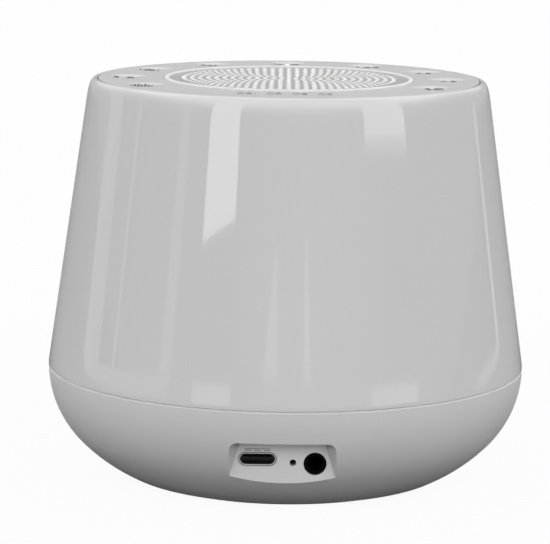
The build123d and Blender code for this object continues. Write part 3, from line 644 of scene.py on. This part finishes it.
def number(text):
    """Figures made of straight strokes, centred on the origin."""
    strokes = {"0": "abcdef", "1": "bc", "2": "abged", "3": "abgcd", "6": "afgedc", "9": "gfabcd"}
    ends = {
        "a": (0, 2, 1, 2),
        "b": (1, 1, 1, 2),
        "c": (1, 0, 1, 1),
        "d": (0, 0, 1, 0),
        "e": (0, 0, 0, 1),
        "f": (0, 1, 0, 2),
        "g": (0, 1, 1, 1),
    }
    margin = (FIGURE_HEIGHT - FIGURE_WIDTH) / 2
    half = FIGURE_HEIGHT / 2
    made = []
    for place, figure in enumerate(text):
        left = (place - len(text) / 2) * FIGURE_HEIGHT + margin
        for stroke in strokes[figure]:
            ax, ay, bx, by = ends[stroke]
            a = (left + ax * FIGURE_WIDTH, (ay - 1) * half)
            b = (left + bx * FIGURE_WIDTH, (by - 1) * half)
            made.append(bar(*a, *b, FIGURE_LINE))
    return made


MINUS = [bar(0.4, 0, 1.8, 0)]
PLUS = MINUS + [bar(1.1, 0.17, 1.1, 0.7), bar(1.1, -0.7, 1.1, -0.17)]
NEXT = [arrow(-3.2, 1.7), arrow(-0.9, 1.7), bar(2.2, -0.9, 2.2, 0.9)]
BACK = [arrow(0.3, -1.5), arrow(2.1, -1.5), bar(-1.6, -0.9, -1.6, 0.9)]
PLAY = [arrow(1.2, 1.4), bar(3.0, -0.8, 3.0, 0.8)]
POWER = hoop(-2.2, 0, 0.9, 130, 410, 0.4) + [bar(-2.2, 0.3, -2.2, 1.2)]

# key: place of the sign from the middle of the key, strokes
PICTOGRAMS = {
    "volume_down": (0.0, 0.0, speaker(-0.9) + MINUS),
    "volume_up": (0.0, 0.0, speaker(-0.9) + PLUS),
    "track_next": (0.3, 0.0, NEXT),
    "power": (-0.7, -1.0, POWER + PLAY),
    "track_back": (-0.9, 0.0, BACK),
    "lamp": (-1.4, 0.0, sun(0, 0.75, 8) + glow(2.4, 28)),
    "lamp_dim": (-1.4, 0.0, sun(-1.6, 0.5, 6) + moon(2.1, 0.85, 0.95)),
    "sound": (-1.2, 0.0, wave((0.6, 1.2, 2.0, 1.3, 1.8, 1.2, 0.6), 0.82, 0.5)),
    "timer": (0.5, 0.0, clock(-1.3) + moon(1.5, 0.95, 1.0)),
}
MINUTES = {"120": (-9.4, -37.5), "90": (-3.4, -37.3), "60": (2.7, -37.5), "30": (8.8, -37.3)}
SPOT_SHIFT = (-0.5, -1.0)
SPOT_RADIUS = 0.6
SPOT_RISE = 0.22


def key_surface(key_x, key_y):
    """Function that gives the height of a key's dished top at a place on it."""
    dish = (KEY_DISH_RADIUS**2 + KEY_DISH_DEPTH**2) / (2 * KEY_DISH_DEPTH)

    def height(x, y):
        reach = (x - key_x) ** 2 + (y - key_y) ** 2
        return DECK_HEIGHT - KEY_DISH_DEPTH + dish - (dish**2 - reach) ** 0.5

    return height


def thicken(bm, move):
    """Body between the faces of a bmesh and their copies moved aside."""
    sides = bmesh.ops.extrude_face_region(bm, geom=bm.faces[:])
    for vert in (v for v in sides["geom"] if isinstance(v, bmesh.types.BMVert)):
        vert.co += move


def make_print(name, polygons, x, y, surface, finish):
    """Ink laid on a surface, upright for someone on the side away from the sockets."""
    bm = bmesh.new()
    for polygon in polygons:
        bm.faces.new([bm.verts.new((x - u, y - v * PRINT_TALL, 0)) for u, v in polygon])
    bmesh.ops.triangulate(bm, faces=bm.faces)
    long_edges = [e for e in bm.edges if e.calc_length() > INK_STEP]
    bmesh.ops.subdivide_edges(bm, edges=long_edges, cuts=2)
    for vert in bm.verts:
        vert.co.z = surface(vert.co.x, vert.co.y) + INK_RISE
    thicken(bm, Vector((0, 0, -INK_DEPTH)))
    return obj_from_bmesh(name, bm, finishes[finish])


for key, (shift_x, shift_y, polygons) in PICTOGRAMS.items():
    key_x, key_y = polar(KEY_RING_RADIUS, KEY_ANGLES[key])
    dish = key_surface(key_x, key_y)
    ink = make_print("print_" + key, polygons, key_x + shift_x, key_y + shift_y, dish, "print_ink")
    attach(ink, "key_" + key)


def deck_surface(*_):
    """Height of the level deck, wherever the ink is."""
    return DECK_HEIGHT


for minutes, (x, y) in MINUTES.items():
    figures = number(minutes)
    ink = make_print("print_minutes_" + minutes, figures, x, y, deck_surface, "faint_ink_and_relief_shade")
    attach(ink, "housing")


def make_power_spot():
    """Small domed window of the indicator on the power key."""
    key_x, key_y = polar(KEY_RING_RADIUS, KEY_ANGLES["power"])
    x, y = key_x + SPOT_SHIFT[0], key_y + SPOT_SHIFT[1]
    level = key_surface(key_x, key_y)(x, y)
    foot = level - INK_DEPTH
    profile = [(0, foot), (SPOT_RADIUS, foot), (SPOT_RADIUS, level)]
    for angle in (20, 45, 70):
        out, up = polar(1, angle)
        profile.append((SPOT_RADIUS * out, level + SPOT_RISE * up))
    bm = lathe_bmesh(profile + [(0, level + SPOT_RISE)], SPOT_SIDES)
    bmesh.ops.translate(bm, vec=(x, y, 0), verts=bm.verts)
    return obj_from_bmesh("power_spot", bm, finishes["lamp_window"], 50)


spot = make_power_spot()
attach(spot, "key_power")


# -------------------------------------------------------------- charging socket
SUPPLY_LINE = 0.2
SUPPLY_RISE = 0.03
SUPPLY_DEPTH = 0.06
SUPPLY_STROKES = [(-3.0, 3.0, 17.1), (-3.0, -1.6, 16.72), (-0.7, 0.7, 16.72), (1.6, 3.0, 16.72)]


def slot_points(width, height, steps=12):
    """Outline of a slot with round ends, in the plane of the socket face."""
    radius = height / 2
    reach = width / 2 - radius
    points = arc((USB_X + reach, USB_LEVEL), radius, -90, 90, steps)
    return points + arc((USB_X - reach, USB_LEVEL), radius, 90, 270, steps)


def make_usb_rim():
    """Front edge of the charging socket's drawn shell, light grey rather than steel: a painted
    highlight.
    """
    front = PORT_FACE + SOCKET_INSET - SOCKET_PROUD
    bm = bmesh.new()
    inner = slot_points(USB_WIDTH - 2 * USB_SHEET, USB_HEIGHT - 2 * USB_SHEET)
    outer = slot_points(USB_WIDTH - RIM_SHY, USB_HEIGHT - RIM_SHY)
    back = front + USB_SHEET
    places = [(inner, back), (inner, front), (outer, front), (outer, back)]
    rings = [[bm.verts.new((x, y, z)) for x, z in outline] for outline, y in places]
    for low, high in zip(rings, rings[1:] + rings[:1]):
        for k in range(len(low)):
            n = (k + 1) % len(low)
            bm.faces.new((low[k], low[n], high[n], high[k]))
    return obj_from_bmesh("usb_rim", bm, finishes["socket_rim_painted_highlight"])


def make_supply_mark():
    """Generic direct-current sign over the socket, a line above three dashes in slight relief; its
    grey is painted shade of the moulded relief.
    """
    bm = bmesh.new()
    for left, right, level in SUPPLY_STROKES:
        top = level + SUPPLY_LINE
        corners = [(left, level), (right, level), (right, top), (left, top)]
        bm.faces.new([bm.verts.new((USB_X + x, PORT_FACE - SUPPLY_RISE, z)) for x, z in corners])
    thicken(bm, Vector((0, SUPPLY_DEPTH, 0)))
    return obj_from_bmesh("supply_sign_painted_shade", bm, finishes["faint_ink_and_relief_shade"])


for made, slot in ((make_usb_rim(), "plated_steel"), (make_supply_mark(), "black_plastic")):
    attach(made, "housing")


# ----------------------------------------------------------------------- stage
# Lengths are in metres from here on, and heights on the sky are sines of the elevation.
FLOOR_HALF = 12.0
FLOOR_SHOWN = 0.925  # own light of the floor, for the camera only
FLOOR_SHADE = 0.06  # what the camera sees of light and shadow on it
FLOOR_BOUNCE = 0.02
FLOOR_MIRRORED = 0.3  # for gloss, beyond the painted shadow round the foot
FLOOR_SHADOW_FADE = (0.05, 0.3)

BAND, BAND_FADE, BAND_FOOT = 3.02, (0.35, 0.65), (0.0, 0.15, 0.5, 1.0)
LOBE, GLARE, FRONT_SPAN = 0.45, 0.4, (0.72, 1.0)
FRONT_AIM = (12, 20)
WALL_LEVEL = 0.55
SKY, SKY_RISE = 3.0, (0.17, 0.55)
ZENITH, ZENITH_RISE = 1.2, (0.6, 0.95)
FACING = (-0.2, 0.7, 0.45, 1.0)
BEHIND, BEHIND_RISE = (-0.2, -0.65, 0.0, 1.0), (0.14, 0.26, 0.0, 0.5)
OVERHEAD, OVERHEAD_AIM = 2.9, (180, 65)
OVERHEAD_SPAN, OVERHEAD_RISE = (0.2, 0.5), (0.5, 0.8)

CAMERA_PLACE = (0, -0.6824, 0.1671)
CAMERA_PITCH, CAMERA_YAW, CAMERA_ROLL = 0.1688, -0.00424, 0.0120  # radians
FOCAL_PIXELS, PICTURE_PIXELS = 2734.4, 550.0
SENSOR = 36.0

# Cards: azimuths of the left and right edge at the foot and at the top, seen from the
# object's axis with 0 towards the camera; heights of the foot and of the top, left and
# right; strength; distance.
FAR, NEAR = 1.2, 0.35
CARDS = {
    "left_strip": ((-42.9, -26.2), (-43.5, -26.5), (0.186, 0.218), (4.0, 4.0), 4.6, FAR),
    "right_strip": ((41.8, 66.4), (41.8, 67), (0.26, 0.226), (4.0, 4.0), 3.8, FAR),
    "right_strip_foot": ((41.6, 66.6), (41.6, 67), (0.249, 0.213), (4.0, 4.0), 1.9, 1.21),
    "left_patch": ((-43, -24.3), (-43.3, -25.1), (0.04, 0.04), (0.089, 0.105), 2.1, FAR),
    "right_patch": ((39, 64), (40.4, 64.1), (0.03, 0.03), (0.091, 0.062), 2.1, FAR),
    "left_stand": ((-10.5, -3.4), (-5.6, -4.6), (0.118, 0.12), (0.207, 0.207), 1.8, FAR),
    "right_stand": ((8.4, 11.9), (9.2, 10.2), (0.116, 0.116), (0.219, 0.219), 1.9, FAR),
    "far_strip": ((-106, -93.5), (-123, -109), (0.017, 0.021), (0.25, 0.25), 1.1, NEAR),
    "far_foot": ((-104, -52), (-104, -52), (0.014, 0.037), (0.02, 0.046), 1.1, NEAR),
    "far_post": ((-57.4, -51.3), (-56.5, -52.5), (0.043, 0.045), (0.2, 0.2), 1.25, NEAR),
    "far_edge": ((-84.3, -83.2), (-86.6, -85.5), (0.03, 0.03), (0.15, 0.15), 1.6, NEAR),
    "right_edge": ((117.2, 119.4), (121, 123.2), (0.012, 0.012), (0.11, 0.11), 1.3, NEAR),
    "right_foot": ((95, 118), (95, 118), (0.014, 0.009), (0.02, 0.014), 0.9, NEAR),
}


def ramp(tree, source, start, end, low=0.0, high=1.0):
    """Smooth change of a value from low to high as the source goes from start to end."""
    made = node(tree, "ShaderNodeMapRange", interpolation_type="SMOOTHSTEP")
    for name, value in (("From Min", start), ("From Max", end), ("To Min", low), ("To Max", high)):
        made.inputs[name].default_value = value
    tree.links.new(source, made.inputs["Value"])
    return made.outputs["Result"]


def combine(tree, operation, *sources):
    """Math node on two or three sockets or numbers."""
    made = node(tree, "ShaderNodeMath", operation=operation)
    for socket, source in zip(made.inputs, sources):
        if isinstance(source, (int, float)):
            socket.default_value = source
        else:
            tree.links.new(source, socket)
    return made.outputs["Value"]


def stage_sheet(name, corners):
    """Flat sheet of the stage, its material's node tree and the output node."""
    mesh = bpy.data.meshes.new(name)
    mesh.from_pydata(corners, [], [(0, 1, 2, 3)])
    mat = bpy.data.materials.new(name)
    mat.use_nodes = True
    tree = mat.node_tree
    tree.nodes.clear()
    mesh.materials.append(mat)
    sheet = bpy.data.objects.new(name, mesh)
    bpy.context.scene.collection.objects.link(sheet)
    return sheet, tree, tree.nodes.new("ShaderNodeOutputMaterial")


def make_card(name, foot_span, top_span, foot, top, strength, distance):
    """Upright card of light that only gloss mirrors."""
    corners = []
    azimuths = (*foot_span, *reversed(top_span))
    for azimuth, height in zip(azimuths, (*foot, *reversed(top))):
        a = radians(azimuth)
        corners.append((distance * sin(a), -distance * cos(a), height))
    card, tree, out = stage_sheet(name, corners)
    light = node(tree, "ShaderNodeEmission", Strength=strength)
    tree.links.new(light.outputs["Emission"], out.inputs["Surface"])
    card.visible_camera = False
    card.visible_shadow = False
    card.visible_diffuse = False


def make_floor():
    """White floor that keeps a light shadow, shows gloss a painted shadow round the foot, and sends
    less light up than it shows.
    """
    corners = [(FLOOR_HALF * x, FLOOR_HALF * y, 0) for x, y in ((-1, -1), (1, -1), (1, 1), (-1, 1))]
    floor, tree, out = stage_sheet("floor", corners)
    path = node(tree, "ShaderNodeLightPath")
    camera_ray = path.outputs["Is Camera Ray"]
    shade = node(tree, "ShaderNodeBsdfDiffuse")
    shown = combine(tree, "MULTIPLY_ADD", camera_ray, FLOOR_SHADE, FLOOR_BOUNCE)
    tree.links.new(shown, shade.inputs["Color"])
    where = node(tree, "ShaderNodeTexCoord")
    reach = node(tree, "ShaderNodeVectorMath", operation="LENGTH")
    tree.links.new(where.outputs["Object"], reach.inputs[0])
    # gloss sees the floor dark near the foot: painted shadow of the object, fading out with
    # distance
    away = ramp(tree, reach.outputs["Value"], *FLOOR_SHADOW_FADE, high=FLOOR_MIRRORED)
    mirrored = combine(tree, "MULTIPLY", path.outputs["Is Glossy Ray"], away)
    own = node(tree, "ShaderNodeEmission")
    strength = combine(tree, "MULTIPLY_ADD", camera_ray, FLOOR_SHOWN, mirrored)
    tree.links.new(strength, own.inputs["Strength"])
    white = node(tree, "ShaderNodeAddShader")
    tree.links.new(shade.outputs["BSDF"], white.inputs[0])
    tree.links.new(own.outputs["Emission"], white.inputs[1])
    tree.links.new(white.outputs["Shader"], out.inputs["Surface"])


def make_world():
    """Studio light from a band round the horizon and a wide softbox in front.

    The camera sees plain white. Gloss mirrors a dim wall, a brighter sky, the softbox
    and a panel overhead.
    """
    world = bpy.data.worlds.new("studio")
    bpy.context.scene.world = world
    world.use_nodes = True
    tree = world.node_tree
    back = tree.nodes["Background"]
    path = node(tree, "ShaderNodeLightPath")
    where = node(tree, "ShaderNodeTexCoord").outputs["Generated"]
    parts = node(tree, "ShaderNodeSeparateXYZ")
    tree.links.new(where, parts.inputs["Vector"])
    height = parts.outputs["Z"]

    def toward(azimuth, elevation):
        """Cosine of the angle to a direction; azimuth 0 is the camera's side, 90 is +X."""
        side, rise = radians(azimuth), radians(elevation)
        aim = node(tree, "ShaderNodeVectorMath", operation="DOT_PRODUCT")
        aim.inputs[1].default_value = (sin(side) * cos(rise), -cos(side) * cos(rise), sin(rise))
        tree.links.new(where, aim.inputs[0])
        return aim.outputs["Value"]

    aim = toward(*FRONT_AIM)
    front = ramp(tree, aim, *FRONT_SPAN)
    band = ramp(tree, height, *BAND_FADE, BAND, 0.0)
    around = combine(tree, "MULTIPLY", band, ramp(tree, height, *BAND_FOOT))
    light = combine(tree, "MULTIPLY_ADD", front, LOBE, around)

    sky = ramp(tree, height, *SKY_RISE, high=SKY - WALL_LEVEL)
    zenith = ramp(tree, height, *ZENITH_RISE, high=ZENITH - SKY)
    above = combine(tree, "ADD", sky, zenith)
    above = combine(tree, "MULTIPLY_ADD", above, ramp(tree, aim, *FACING), WALL_LEVEL)
    behind, lift = ramp(tree, aim, *BEHIND), ramp(tree, height, *BEHIND_RISE)
    above = combine(tree, "MULTIPLY_ADD", behind, lift, above)
    over = ramp(tree, toward(*OVERHEAD_AIM), *OVERHEAD_SPAN, high=OVERHEAD)
    above = combine(tree, "MULTIPLY_ADD", over, ramp(tree, height, *OVERHEAD_RISE), above)
    gloss = combine(tree, "MULTIPLY_ADD", front, GLARE, above)

    mirrored = node(tree, "ShaderNodeMix", data_type="FLOAT")
    tree.links.new(path.outputs["Is Glossy Ray"], mirrored.inputs["Factor"])
    tree.links.new(light, mirrored.inputs["A"])
    tree.links.new(gloss, mirrored.inputs["B"])
    seen = node(tree, "ShaderNodeMix", data_type="FLOAT")
    tree.links.new(path.outputs["Is Camera Ray"], seen.inputs["Factor"])
    tree.links.new(mirrored.outputs["Result"], seen.inputs["A"])
    seen.inputs["B"].default_value = 1.0
    tree.links.new(seen.outputs["Result"], back.inputs["Strength"])
    back.inputs["Color"].default_value = (1, 1, 1, 1)


def make_camera():
    """Camera behind the sockets, a little above, with the picture's slight roll."""
    pitch, yaw, roll = CAMERA_PITCH, CAMERA_YAW, CAMERA_ROLL
    right = Vector((cos(yaw), -sin(yaw), 0))
    level = Vector((sin(yaw), cos(yaw), 0))
    ahead = cos(pitch) * level - sin(pitch) * Vector((0, 0, 1))
    up = sin(pitch) * level + cos(pitch) * Vector((0, 0, 1))
    cam_right = cos(roll) * right + sin(roll) * up
    cam_up = cos(roll) * up - sin(roll) * right
    data = bpy.data.cameras.new("camera")
    data.sensor_width = SENSOR
    data.lens = FOCAL_PIXELS / PICTURE_PIXELS * SENSOR
    camera = bpy.data.objects.new("camera", data)
    turn = Matrix((cam_right, cam_up, -ahead)).transposed().to_4x4()
    camera.matrix_world = Matrix.Translation(CAMERA_PLACE) @ turn
    bpy.context.scene.collection.objects.link(camera)
    bpy.context.scene.camera = camera


make_camera()
make_floor()
make_world()
for name, card in CARDS.items():
    make_card(name, *card)

bpy.context.scene.view_settings.view_transform = "Standard"
